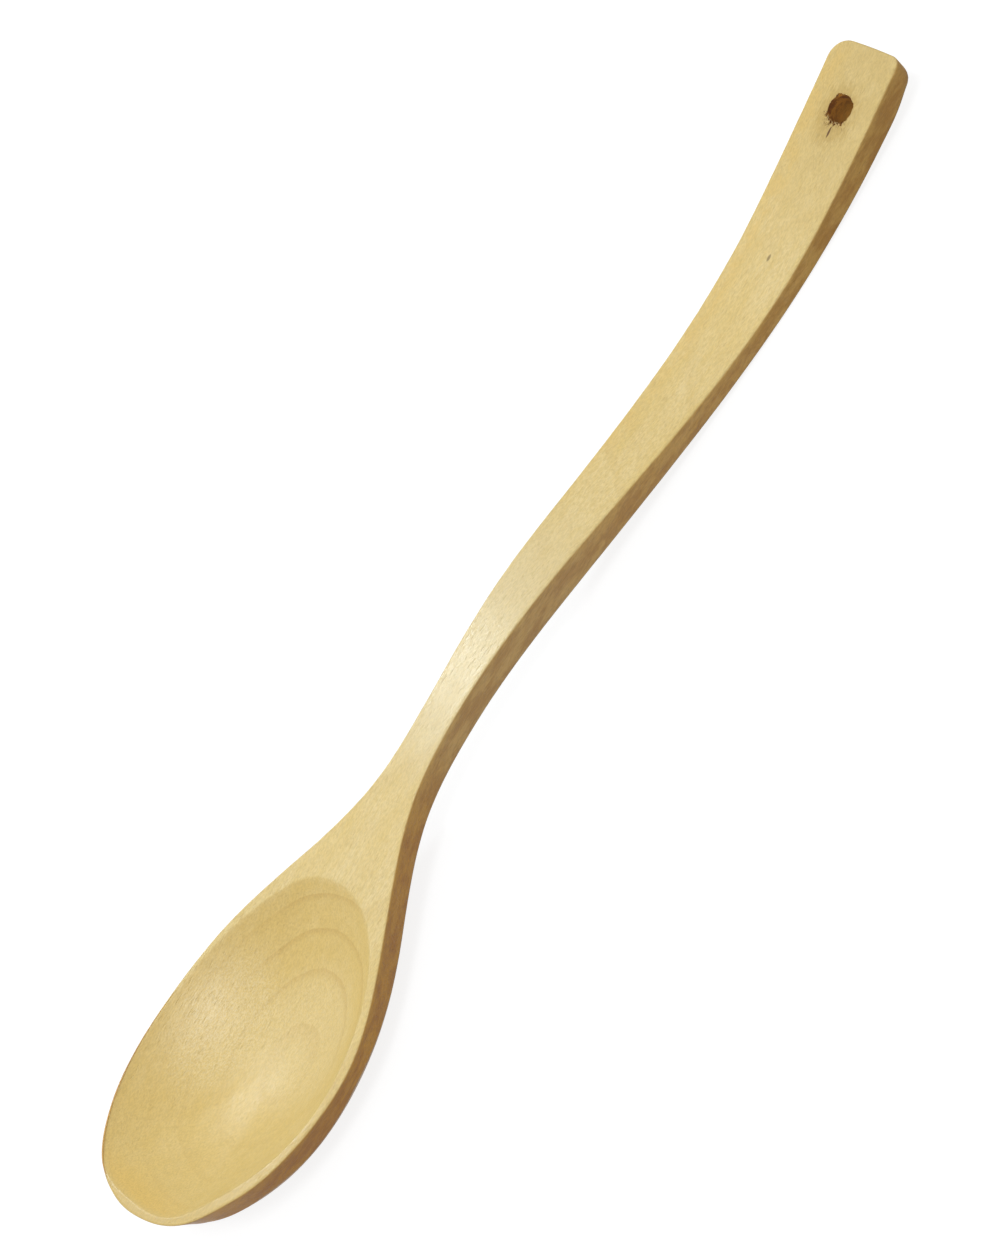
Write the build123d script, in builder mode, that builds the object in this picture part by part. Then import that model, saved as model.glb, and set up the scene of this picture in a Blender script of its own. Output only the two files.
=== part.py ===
from build123d import *
import os

os.makedirs("parts", exist_ok=True)

# A wooden spoon, carved from one board. Millimetres, +Z up.
# It lies as it rests on a table: the bowl's underside and the handle's valley touch Z = 0.
# +X runs from the bowl's tip to the handle's end, and X = 0 is half way along.
# Places along the spoon are measured from the bowl's tip.

# Length and plan
spoon_length = 300.0
bowl_width = 54.1
widest_from_tip = 42.0
neck_width = 9.4
neck_from_tip = 124.0
end_width = 19.3
end_crown = 0.3
left_corner_radius = 5.0
right_corner_radius = 2.8

# Side view: heights of the top face above the table
tip_height = 20.4
rim_height = 14.65
hump_height = 19.8
hump_from_tip = 140.0
valley_from_end = 53.0
end_height = 14.55

# Wood under the top face
tip_thickness = 5.0
hump_thickness = 8.4
valley_thickness = 6.0
end_thickness = 8.6
underside_crown = 0.8

# The hollow of the bowl, and the wood left under its lowest place
hollow_end_from_tip = 83.2
rim_width = 1.8
floor_thickness = 4.2

# The hanging hole, drilled square to the top face and a little to one side
hang_hole_diameter = 6.6
hang_hole_from_end = 14.7
hang_hole_offset = -0.1

# The softened edges, and the flats rubbed on the two places that touch the table
top_edge_radius = 0.5
underside_edge_radius = 0.9
rubbed_depth = 0.12

# The drill runs past the wood by the overrun, and the underside's ribs are wider than the plan by the margin
overrun = 3.0
rib_margin = 0.5

tip_x = -spoon_length / 2
end_x = spoon_length / 2
valley_from_tip = spoon_length - valley_from_end
tip_underside = tip_height - tip_thickness
hump_underside = hump_height - hump_thickness
end_underside = end_height - end_thickness


def between(low, high, share):
    return low + share * (high - low)


# Ribs from just past the tip to the bowl's widest and lowest place.
# Each row: along, half width, top (1 at the tip), straight part of the side, keel (1 at the tip).
front_rib_shares = (
    (-0.070, 0.330, 1.080, 0.730, 1.170),
    (0.095, 0.510, 0.913, 0.470, 0.760),
    (0.286, 0.738, 0.757, 0.300, 0.410),
    (0.595, 0.932, 0.400, 0.290, 0.125),
    (1.000, 1.000, 0.000, 0.240, 0.000),
)
# Ribs from there to the neck: along, width, top (1 at the hump), straight part, keel (1 at the hump).
back_rib_shares = (
    (0.195, 0.912, -0.078, 0.250, 0.070),
    (0.390, 0.650, 0.126, 0.400, 0.270),
    (0.585, 0.318, 0.359, 0.520, 0.590),
    (0.780, 0.069, 0.650, 0.720, 0.850),
    (1.000, 0.000, 0.950, 0.900, 0.990),
)
# Ribs from the hump to the valley: along, width, top (1 at the hump), keel (1 at the hump).
bend_rib_shares = (
    (0.000, 0.090, 1.000, 1.000),
    (0.187, 0.284, 0.897, 0.840),
    (0.374, 0.412, 0.625, 0.571),
    (0.561, 0.549, 0.325, 0.321),
    (0.748, 0.676, 0.089, 0.107),
    (1.000, 0.853, 0.000, 0.000),
)
# Ribs from the valley to just past the handle's end: along, width, top (1 at the end), keel (1 at the end).
grip_rib_shares = (
    (0.470, 0.951, 0.349, 0.250),
    (1.000, 1.000, 1.000, 1.000),
    (1.057, 1.000, 1.075, 1.095),
)

# Every rib: place from the tip, half width, top, height where the side's straight part ends, keel.
ribs = []
for along, width, top_share, straight, keel_share in front_rib_shares:
    top = between(rim_height, tip_height, top_share)
    keel = between(-rubbed_depth, tip_underside, keel_share)
    side_end = between(top, keel, straight)
    ribs.append((along * widest_from_tip, width * bowl_width / 2, top, side_end, keel))
for along, width, top_share, straight, keel_share in back_rib_shares:
    place = between(widest_from_tip, neck_from_tip, along)
    top = between(rim_height, hump_height, top_share)
    keel = between(-rubbed_depth, hump_underside, keel_share)
    side_end = between(top, keel, straight)
    ribs.append((place, between(neck_width, bowl_width, width) / 2, top, side_end, keel))
for along, width, top_share, keel_share in bend_rib_shares:
    place = between(hump_from_tip, valley_from_tip, along)
    top = between(valley_thickness, hump_height, top_share)
    keel = between(-rubbed_depth, hump_underside, keel_share)
    half_width = between(neck_width, end_width, width) / 2
    ribs.append((place, half_width, top, keel + underside_crown, keel))
for along, width, top_share, keel_share in grip_rib_shares:
    place = between(valley_from_tip, spoon_length, along)
    top = between(valley_thickness, end_height, top_share)
    keel = between(-rubbed_depth, end_underside, keel_share)
    half_width = between(neck_width, end_width, width) / 2
    ribs.append((place, half_width, top, keel + underside_crown, keel))

# Plan of the spoon, cut through the whole board
end_corner = (end_x - end_crown, end_width / 2)
half_plan = [(tip_x + place, half_width) for place, half_width, *heights in ribs[1:-2]] + [end_corner]
mirrored_half_plan = [(x, -y) for x, y in reversed(half_plan)]
with BuildSketch() as plan:
    with BuildLine():
        Spline(*mirrored_half_plan, (tip_x, 0), *half_plan)
        ThreePointArc(end_corner, (end_x, 0), (end_corner[0], -end_corner[1]))
    make_face()
    fillet(plan.vertices().sort_by(Axis.Y)[-1], left_corner_radius)
    fillet(plan.vertices().sort_by(Axis.Y)[0], right_corner_radius)

# The top face seen from the side. It passes straight over the neck, which needs no point of its own.
clear_height = hump_height + tip_height
top_line = [
    (tip_x + place, top)
    for place, half_width, top, *lower in ribs
    if place < neck_from_tip or place >= hump_from_tip
]
with BuildSketch(Plane.XZ.offset(-bowl_width)) as air_above:
    with BuildLine():
        Spline(*top_line)
        Polyline(top_line[-1], (top_line[-1][0], clear_height), (top_line[0][0], clear_height), top_line[0])
    make_face()
top_edge = air_above.sketch.edges().filter_by(GeomType.BSPLINE)[0]


def top_point(place):
    return top_edge.intersect(Plane.YZ.offset(tip_x + place))[0]


# Underside: a boat-like body lofted through the ribs, open-topped above the wood
with BuildPart() as underside:
    for place, half_width, top, side_end, keel in ribs:
        wide = half_width + rib_margin
        with BuildSketch(Plane.YZ.offset(tip_x + place)):
            with BuildLine():
                EllipticalCenterArc((0, side_end), wide, side_end - keel, 180, arc_size=180)
                Polyline(
                    (wide, side_end), (wide, clear_height), (-wide, clear_height), (-wide, side_end)
                )
            make_face()
    loft()

# Hollow: outlines parallel to a plane from the tip's rim to the hollow's end, shrinking on their way down.
# Half outline: share of the hollow's length, share of its half width.
hollow_outline_shares = (
    (0.029, 0.386),
    (0.125, 0.627),
    (0.270, 0.864),
    (0.480, 0.995),
    (0.730, 0.886),
    (0.895, 0.640),
    (0.972, 0.333),
)
# Sizes of the outlines, from just above the plane to the floor, and how round the walls are
hollow_level_shares = (1.06, 0.97, 0.86, 0.72, 0.55, 0.35, 0.12)
hollow_fullness = 2.2
hollow_length = hollow_end_from_tip - rim_width
hollow_middle = rim_width + hollow_length / 2
hollow_end_height = top_point(hollow_end_from_tip).Z
rim_fall = tip_height - hollow_end_height
rim_plane = Plane(
    origin=(tip_x, 0, tip_height),
    x_dir=(hollow_end_from_tip, 0, -rim_fall),
    z_dir=(rim_fall, 0, hollow_end_from_tip),
)
plane_over_floor = between(tip_height, hollow_end_height, widest_from_tip / hollow_end_from_tip)
hollow_depth = plane_over_floor - floor_thickness
# The outline is wider in the plane than where it meets the rim, which lies lower there
level_at_rim = ((rim_height - floor_thickness) / hollow_depth) ** (1 / hollow_fullness)
hollow_half_width = (bowl_width / 2 - rim_width) / level_at_rim
half_hollow = [
    (rim_width + along * hollow_length, across * hollow_half_width)
    for along, across in hollow_outline_shares
]
mirrored_half_hollow = [(x, -y) for x, y in reversed(half_hollow)]
hollow_outline = [(rim_width, 0), *half_hollow, (hollow_end_from_tip, 0), *mirrored_half_hollow]
with BuildPart() as hollow:
    for level in hollow_level_shares:
        level_outline = [(hollow_middle + level * (x - hollow_middle), level * y) for x, y in hollow_outline]
        with BuildSketch(rim_plane.offset(-hollow_depth * (1 - level**hollow_fullness))):
            with BuildLine():
                Spline(*level_outline, periodic=True)
            make_face()
    loft()

# The hanging hole's axis is square to the top face where it starts
hole_spot = top_point(spoon_length - hang_hole_from_end)
hole_slope = top_edge % top_edge.param_at_point(hole_spot)
hole_plane = Plane(
    origin=(hole_spot.X, hang_hole_offset, hole_spot.Z),
    x_dir=hole_slope,
    z_dir=(-hole_slope.Z, 0, hole_slope.X),
)

with BuildPart() as spoon:
    # The board, cut to its plan and to the top face
    add(plan.sketch)
    extrude(amount=clear_height)
    extrude(air_above.sketch, amount=2 * bowl_width, dir=(0, -1, 0), mode=Mode.SUBTRACT)
    fillet(spoon.faces().sort_by(Axis.Z)[-1].edges(), top_edge_radius)
    # The underside, with its lower edge softened all round
    add(underside.part, mode=Mode.INTERSECT)
    fillet(spoon.faces().sort_by(SortBy.AREA)[-1].outer_wire().edges(), underside_edge_radius)
    # The hollow and its lip
    add(hollow.part, mode=Mode.SUBTRACT)
    fillet(spoon.edges(Select.LAST).sort_by(SortBy.LENGTH)[-1], top_edge_radius)
    # The hanging hole
    with BuildSketch(hole_plane):
        Circle(hang_hole_diameter / 2)
    extrude(amount=end_thickness + overrun, both=True, mode=Mode.SUBTRACT)

spoon.part.label = "spoon"
export_step(spoon.part, "parts/spoon.step")
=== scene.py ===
import math

import bmesh
import bpy
import numpy as np
from mathutils import Euler, Matrix, Vector, noise


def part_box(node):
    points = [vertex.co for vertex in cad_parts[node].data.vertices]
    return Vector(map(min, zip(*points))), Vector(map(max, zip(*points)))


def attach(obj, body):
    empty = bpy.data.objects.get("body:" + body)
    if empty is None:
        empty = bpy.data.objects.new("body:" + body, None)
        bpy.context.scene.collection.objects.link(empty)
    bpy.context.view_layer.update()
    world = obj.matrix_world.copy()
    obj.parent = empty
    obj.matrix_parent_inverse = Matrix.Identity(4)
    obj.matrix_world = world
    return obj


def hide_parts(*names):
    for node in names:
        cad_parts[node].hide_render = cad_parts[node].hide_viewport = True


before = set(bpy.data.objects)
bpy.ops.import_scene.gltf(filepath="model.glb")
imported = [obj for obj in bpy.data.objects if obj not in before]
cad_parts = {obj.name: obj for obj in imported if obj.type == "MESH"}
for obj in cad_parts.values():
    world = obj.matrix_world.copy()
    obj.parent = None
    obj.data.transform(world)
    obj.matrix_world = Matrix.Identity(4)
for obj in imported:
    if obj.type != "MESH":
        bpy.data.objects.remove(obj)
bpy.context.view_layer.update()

# A carved wooden spoon. The sizes are in millimetres, and the meshes are made in metres.
# +X runs from the bowl's tip to the handle's end, +Z up, and places are measured from the tip.
MM = 0.001

# Length and plan
node_low, node_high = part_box("spoon")
spoon_length = (node_high[0] - node_low[0]) / MM
tip_x = -spoon_length / 2
bowl_width = 54.1
widest_from_tip = 42.0
neck_width = 9.4
neck_from_tip = 124.0
end_width = 19.3
end_crown = 0.3
left_corner_radius = 5.0
right_corner_radius = 2.3

# Heights of the top face
tip_height = 20.4
rim_height = 14.65
hump_height = 19.8
hump_from_tip = 140.0
valley_from_end = 53.0
valley_from_tip = spoon_length - valley_from_end
end_height = 14.55

# Wood under the top face
tip_thickness = 5.0
hump_thickness = 8.4
valley_thickness = 6.0
end_thickness = 8.6
tip_underside = tip_height - tip_thickness
hump_underside = hump_height - hump_thickness
end_underside = end_height - end_thickness
underside_crown = 0.8
rubbed_depth = 0.12
rib_margin = 0.5

# The hollow, whose rim is narrowest at the left side
hollow_end_from_tip = 83.2
rim_width = 1.8
left_rim_width = 0.8
right_rim_width = 1.7
floor_thickness = 4.2
hollow_fullness = 2.2

# The hanging hole
hole_from_end = 14.7
hole_offset = -0.1
hole_radius = 3.3

# Softened edges, and the most of the rim's width that its lip and its outer edge may take
lip_softness = 0.32
top_edge_radius = 0.5
lower_edge_radius = 0.9
lip_share_of_rim = 0.40
edge_share_of_rim = 0.45
# The end's lower edge is sanded rounder, most of all at the right corner
end_softness = 1.9
softer_from_end = 12.0
softest_from_end = 1.5
corner_softness = 2.0
corner_reach = 4.5
corner_shift = 0.8

# Unevenness left by the hand: strength, size of the bumps in millimetres, seed
lip_waver = (0.25, 9.0, 3.0)
edge_wavers = ((0.22, 11.0, 7.0), (0.12, 2.5, 9.0))
surface_dips = ((0.09, 21.0, 11.0), (0.03, 6.0, 17.0))


def between(low, high, share):
    return low + share * (high - low)


# Ribs from just past the tip to the widest place: along, half width, top, straight side, keel
front_rib_shares = (
    (-0.070, 0.330, 1.080, 0.730, 1.170),
    (0.095, 0.510, 0.913, 0.470, 0.760),
    (0.286, 0.738, 0.757, 0.300, 0.410),
    (0.595, 0.932, 0.400, 0.290, 0.125),
    (1.000, 1.000, 0.000, 0.240, 0.000),
)
# From there to the neck: along, width, top, straight side, keel
back_rib_shares = (
    (0.195, 0.912, -0.078, 0.250, 0.070),
    (0.390, 0.650, 0.126, 0.400, 0.270),
    (0.585, 0.318, 0.359, 0.520, 0.590),
    (0.780, 0.069, 0.650, 0.720, 0.850),
    (1.000, 0.000, 0.950, 0.900, 0.990),
)
# From the hump to the valley: along, width, top, keel
bend_rib_shares = (
    (0.000, 0.090, 1.000, 1.000),
    (0.187, 0.284, 0.897, 0.840),
    (0.374, 0.412, 0.625, 0.571),
    (0.561, 0.549, 0.325, 0.321),
    (0.748, 0.676, 0.089, 0.107),
    (1.000, 0.853, 0.000, 0.000),
)
# From the valley to just past the end: along, width, top, keel
grip_rib_shares = (
    (0.470, 0.951, 0.349, 0.250),
    (1.000, 1.000, 1.000, 1.000),
    (1.057, 1.000, 1.075, 1.095),
)
# Half of the hollow's outline on each side: share of its length, share of its half width
left_hollow_shares = (
    (0.026, 0.438),
    (0.122, 0.672),
    (0.270, 0.882),
    (0.480, 0.995),
    (0.730, 0.858),
    (0.895, 0.560),
    (0.972, 0.325),
)
right_hollow_shares = (
    (0.029, 0.386),
    (0.125, 0.627),
    (0.270, 0.864),
    (0.480, 0.995),
    (0.730, 0.872),
    (0.895, 0.602),
    (0.972, 0.325),
)


def carved_ribs():
    """Every rib: place, half width, top, height where the side's straight part ends, keel."""
    ribs = []
    bowl_parts = (
        (0.0, widest_from_tip, 0.0, tip_height, tip_underside, front_rib_shares),
        (widest_from_tip, neck_from_tip, neck_width, hump_height, hump_underside, back_rib_shares),
    )
    for start, finish, least_width, high_top, high_keel, rib_shares in bowl_parts:
        for along, width, top_share, straight, keel_share in rib_shares:
            top = between(rim_height, high_top, top_share)
            keel = between(-rubbed_depth, high_keel, keel_share)
            half_width = between(least_width, bowl_width, width) / 2
            ribs.append((between(start, finish, along), half_width, top, between(top, keel, straight), keel))
    handle_parts = (
        (hump_from_tip, valley_from_tip, hump_height, hump_underside, bend_rib_shares),
        (valley_from_tip, spoon_length, end_height, end_underside, grip_rib_shares),
    )
    for start, finish, high_top, high_keel, rib_shares in handle_parts:
        for along, width, top_share, keel_share in rib_shares:
            top = between(valley_thickness, high_top, top_share)
            keel = between(-rubbed_depth, high_keel, keel_share)
            half_width = between(neck_width, end_width, width) / 2
            ribs.append((between(start, finish, along), half_width, top, keel + underside_crown, keel))
    return ribs


def bent_line(points, count):
    """A springy line through the points, as count points along it."""
    knots = np.array(points, float)
    gaps = np.linalg.norm(np.diff(knots, axis=0), axis=1)
    times = np.concatenate([[0.0], np.cumsum(gaps)])
    size = len(knots)
    matrix = np.eye(size)
    right = np.zeros_like(knots)
    for i in range(1, size - 1):
        matrix[i, i - 1 : i + 2] = gaps[i - 1], 2 * (gaps[i - 1] + gaps[i]), gaps[i]
        right[i] = 6 * ((knots[i + 1] - knots[i]) / gaps[i] - (knots[i] - knots[i - 1]) / gaps[i - 1])
    bends = np.linalg.solve(matrix, right)
    time = np.linspace(0.0, times[-1], count)
    span = np.clip(np.searchsorted(times, time, side="right") - 1, 0, size - 2)
    gap = gaps[span][:, None]
    ahead = (times[span + 1] - time)[:, None]
    behind = (time - times[span])[:, None]
    line = (bends[span] * ahead**3 + bends[span + 1] * behind**3) / (6 * gap)
    line += (knots[span] / gap - bends[span] * gap / 6) * ahead
    line += (knots[span + 1] / gap - bends[span + 1] * gap / 6) * behind
    return line


ribs = carved_ribs()
# Points of a springy line along the spoon, of each curve at its end and of a line round the hollow
line_points = 6000
arc_points = 400
hollow_points = 8000
# Corners of the end: points that give the side's slope, rounds to settle the middle, gap before the arc
slope_points = 200
corner_rounds = 20
corner_gap = 0.02
# The underside's ribs are followed nearly out to their sides
rib_reach = 0.9999


def part_of_one(value):
    return np.clip(value, 0.0, 1.0)


def by_place(values):
    """A function of the place that runs smoothly through the pairs of place and value."""
    line = bent_line(values, line_points)
    return lambda place: np.interp(place, line[:, 0], line[:, 1])


top_at = by_place(
    [(place, top) for place, half, top, *rest in ribs if place < neck_from_tip or place >= hump_from_tip]
)
half_width_at = by_place([(rib[0], rib[1]) for rib in ribs])
side_end_at = by_place([(rib[0], rib[3]) for rib in ribs])
keel_at = by_place([(rib[0], rib[4]) for rib in ribs])


def underside_at(place, y):
    """Height of the underside at a point of the plan."""
    side_end = side_end_at(place)
    across = np.clip(np.abs(y) / (half_width_at(place) + rib_margin), 0.0, rib_reach)
    height = side_end - (side_end - keel_at(place)) * np.sqrt(1 - across**2)
    return np.maximum(height, 0.0)


def soft_step(value, start, end):
    """Rises smoothly from 0 at the start to 1 at the end."""
    share = part_of_one((value - start) / (end - start))
    return share * share * (3 - 2 * share)


def nearness(value, middle, reach):
    """1 at the middle, falling off smoothly on both sides of it."""
    return np.exp(-(((value - middle) / reach) ** 2))


def half_plan(corner_radius):
    """Closely spaced points of half the outline, as place and y, from the tip round to the end's middle."""
    side = [(place, half) for place, half, *rest in ribs[1:-2]] + [(spoon_length - end_crown, end_width / 2)]
    mirrored = [(place, -half) for place, half in reversed(side)]
    line = bent_line(mirrored + [(0.0, 0.0)] + side, 2 * line_points + 1)[line_points:]
    line[0] = (0.0, 0.0)
    crown_radius = ((end_width / 2) ** 2 + end_crown**2) / (2 * end_crown)
    crown_middle = spoon_length - crown_radius
    run_up = line[-1] - line[-slope_points]
    slope = run_up[1] / run_up[0]
    # Middle of the corner's arc: a radius inside the side and inside the crown
    middle_place = spoon_length - corner_radius - end_crown / 2
    for _ in range(corner_rounds):
        side_y = line[-1, 1] + slope * (middle_place - line[-1, 0])
        middle_y = side_y - corner_radius * math.sqrt(1 + slope**2)
        middle_place = crown_middle + math.sqrt((crown_radius - corner_radius) ** 2 - middle_y**2)
    side_turn = math.atan2(1.0, -slope)
    crown_turn = math.atan2(middle_y, middle_place - crown_middle)

    def arc(place, y, radius, start, finish):
        turns = np.linspace(start, finish, arc_points)
        return np.stack([place + radius * np.cos(turns), y + radius * np.sin(turns)], axis=1)

    corner = arc(middle_place, middle_y, corner_radius, side_turn, crown_turn)
    crown = arc(crown_middle, 0.0, crown_radius, crown_turn, 0.0)[1:]
    return np.concatenate([line[line[:, 0] < corner[0, 0] - corner_gap], corner, crown])


# The plane from the tip's rim to the hollow's end, and the hollow under it
hollow_length = hollow_end_from_tip - rim_width
hollow_middle = rim_width + hollow_length / 2
hollow_end_height = float(top_at(hollow_end_from_tip))
rim_fall = tip_height - hollow_end_height
plane_length = math.hypot(hollow_end_from_tip, rim_fall)
plane_along = np.array((hollow_end_from_tip, 0.0, -rim_fall)) / plane_length
plane_up = np.array((rim_fall, 0.0, hollow_end_from_tip)) / plane_length
plane_over_floor = between(tip_height, hollow_end_height, widest_from_tip / hollow_end_from_tip)
hollow_depth = plane_over_floor - floor_thickness
level_at_rim = ((rim_height - floor_thickness) / hollow_depth) ** (1 / hollow_fullness)


def hollow_outline(side):
    """Closely spaced points of half the hollow's outline in its plane, from the tip to the hollow's end."""
    side_rim = left_rim_width if side > 0 else right_rim_width
    shares = left_hollow_shares if side > 0 else right_hollow_shares
    half_width = (bowl_width / 2 - side_rim) / level_at_rim
    half = [(rim_width + along * hollow_length, across * half_width) for along, across in shares]
    turn = [(rim_width, 0.0)] + half + [(hollow_end_from_tip, 0.0)] + [(x, -y) for x, y in reversed(half)]
    # The middle one of three turns, so that the line runs on smoothly through the tip
    line = bent_line(turn * 3 + turn[:1], 3 * hollow_points + 1)
    middle_turn = line[hollow_points : 2 * hollow_points + 1]
    upper = middle_turn[: np.argmax(middle_turn[:, 0]) + 1]
    upper = upper[upper[:, 1] >= 0.0]
    upper[0] = (rim_width, 0.0)
    upper[-1] = (hollow_end_from_tip, 0.0)
    return upper


def hollow_point(outline, level):
    """Points of the hollow's wall: outline is pairs in the plane, level 1 at the plane and 0 on the floor."""
    along = hollow_middle + level * (outline[..., 0] - hollow_middle)
    across = level * outline[..., 1]
    down = hollow_depth * (1 - level**hollow_fullness)
    place = along * plane_along[0] - down * plane_up[0]
    height = tip_height + along * plane_along[2] - down * plane_up[2]
    return np.stack([place, across, height], axis=-1)


# The hollow's edge is sought between two levels, by halving the span between them
lowest_edge_level = 0.5
highest_edge_level = 1.08
halvings = 40


def hollow_edge(outline):
    """Level at which the hollow's wall meets the top face, for each point of the outline."""
    low = np.full(len(outline), lowest_edge_level)
    high = np.full(len(outline), highest_edge_level)
    for _ in range(halvings):
        level = (low + high) / 2
        point = hollow_point(outline, level)
        above = point[:, 2] > top_at(point[:, 0])
        high = np.where(above, level, high)
        low = np.where(above, low, level)
    return (low + high) / 2


def soft_noise(points, size, seed):
    """Smooth noise from -1 to 1 at points in millimetres, with bumps about the size across."""
    return np.array([noise.noise(Vector(point) / size + Vector((seed, 0, 0))) for point in points])


# Small dents on the top edge: place, side of the spoon, length and depth
edge_dents = (
    (1.1, 1, 1.2, 0.35),
    (45.0, -1, 0.9, 0.10),
    (180.2, -1, 0.7, 0.22),
    (210.6, -1, 0.6, 0.28),
    (232.0, 1, 1.1, 0.16),
    (296.6, -1, 0.5, 0.50),
    (160.0, 1, 1.6, 0.12),
)

# Where the hand-shaped outline leaves the even one: side, distance round from the tip, reach, shift outwards
hand_shifts = (
    (1, 2.0, 6.0, 0.32),
    (1, 15.0, 6.0, -0.16),
    (-1, -1.5, 5.0, 0.31),
    (-1, 34.0, 8.0, 0.40),
    (-1, 65.0, 9.0, 0.28),
    (1, 118.0, 22.0, 0.20),
    (1, 180.0, 30.0, 0.10),
    (1, 245.0, 25.0, 0.22),
    (1, 285.0, 16.0, 0.24),
)
# Where the side slopes inwards on its way down: side, distance round from the tip, reach, slope
tucked_sides = (
    (-1, 12.5, 6.5, 0.36),
)

# How deep the tuck goes on down the side, and how fast it fades out towards the keel
tuck_depth = 6.0
tuck_fade = 2.5

# Columns of points run from the middle line to the outline: round the bowl, along the handle, round the end
bowl_count = 190
grip_count = 320
end_count = 34
last_hollow_place = 93.0
end_from_tip = spoon_length - 15.0
# Where the columns start on the middle line of the top face, and where they finish on the keel
neck_middle_place = neck_from_tip - 5.0
end_middle_place = end_from_tip - 2.0
last_middle_place = spoon_length - 6.0
tip_keel_place = 18.0
neck_keel_place = neck_from_tip - 4.0
# Rows of a column: over the top face, round its edge, down the wall, round the lower edge, in to the keel
top_rows = 11
edge_rows = 5
wall_rows = 6
low_rows = 6
under_rows = 15
under_crowding = 1.35
least_wall = 0.2
# Rings of the hollow: over its lip, and down to the middle of the floor
lip_rings = 5
floor_rings = 44
# Short steps over which slopes are measured: along the outline, inwards from it, down the hollow's wall
track_step = 0.15
probe_step = 0.4
level_step = 0.01


def unit_rows(rows):
    return rows / np.linalg.norm(rows, axis=1)[:, None]


def outwards(track):
    """Directions square to a line of points that runs from the tip round one side."""
    out = unit_rows(np.stack([-track[:, 1], track[:, 0]], axis=1))
    out[0] = (-1.0, 0.0)
    out[-1] = (1.0, 0.0)
    return out


def with_height(spot, height):
    return np.stack([spot[:, 0], spot[:, 1], height], axis=1)


def turned_over(start, corner, finish, shares):
    """Rows of a soft turn that leaves the start and reaches the finish along the lines to the corner."""
    return [(1 - t) ** 2 * start + 2 * t * (1 - t) * corner + t * t * finish for t in shares]


def matched_hollow(side, edge):
    """The hollow's outline, its levels at the rim and its rim, matched with the edge by their direction."""
    wall = hollow_outline(side)
    level = hollow_edge(wall)
    rim = hollow_point(wall, level)
    rim_turn = np.arctan2(rim[:, 1], rim[:, 0] - hollow_middle)
    edge_turn = np.arctan2(edge[:, 1], edge[:, 0] - hollow_middle)
    share = (math.pi - edge_turn) / (math.pi - edge_turn[-1])
    picks = np.interp(share, (math.pi - rim_turn) / math.pi, np.arange(len(rim)))
    wall = np.stack([np.interp(picks, np.arange(len(rim)), wall[:, i]) for i in (0, 1)], axis=1)
    wall[0, 1] = wall[-1, 1] = 0.0
    level = np.interp(picks, np.arange(len(rim)), level)
    return wall, level, hollow_point(wall, level)


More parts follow.
